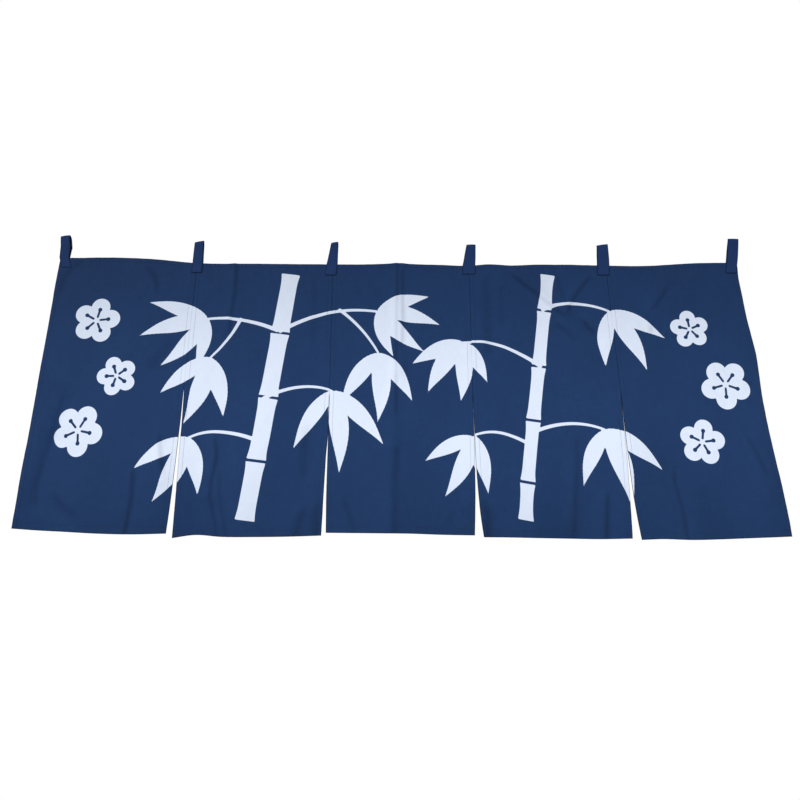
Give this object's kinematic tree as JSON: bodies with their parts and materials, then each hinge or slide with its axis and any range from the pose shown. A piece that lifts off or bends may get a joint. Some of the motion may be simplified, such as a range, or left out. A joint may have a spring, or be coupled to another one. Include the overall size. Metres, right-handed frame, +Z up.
{
  "type": "noren curtain",
  "caption": "Short split shop curtain of navy cotton widths, sewn together at the top, slit below and hung by fabric loops along its top edge.",
  "frame": {"origin": "middle of the curtain's top edge, at the front face of the cloth", "axes": "+X along the top edge to the right as seen from the front, +Y away from the viewer towards the back, +Z up along the hang"},
  "size_m": [1.7189, 0.0246, 0.748],
  "materials": {
    "panel_cloth": "matte plain-woven cotton, dyed navy, with a white printed pattern",
    "tab_cloth": "matte folded cotton strip, dyed navy"
  },
  "bodies": {
    "root": {"panel_1": "panel_cloth", "panel_2": "panel_cloth", "panel_3": "panel_cloth", "panel_4": "panel_cloth", "panel_5": "panel_cloth", "tab_1": "tab_cloth", "tab_2": "tab_cloth", "tab_3": "tab_cloth", "tab_4": "tab_cloth", "tab_5": "tab_cloth", "tab_6": "tab_cloth"}
  },
  "joints": []
}
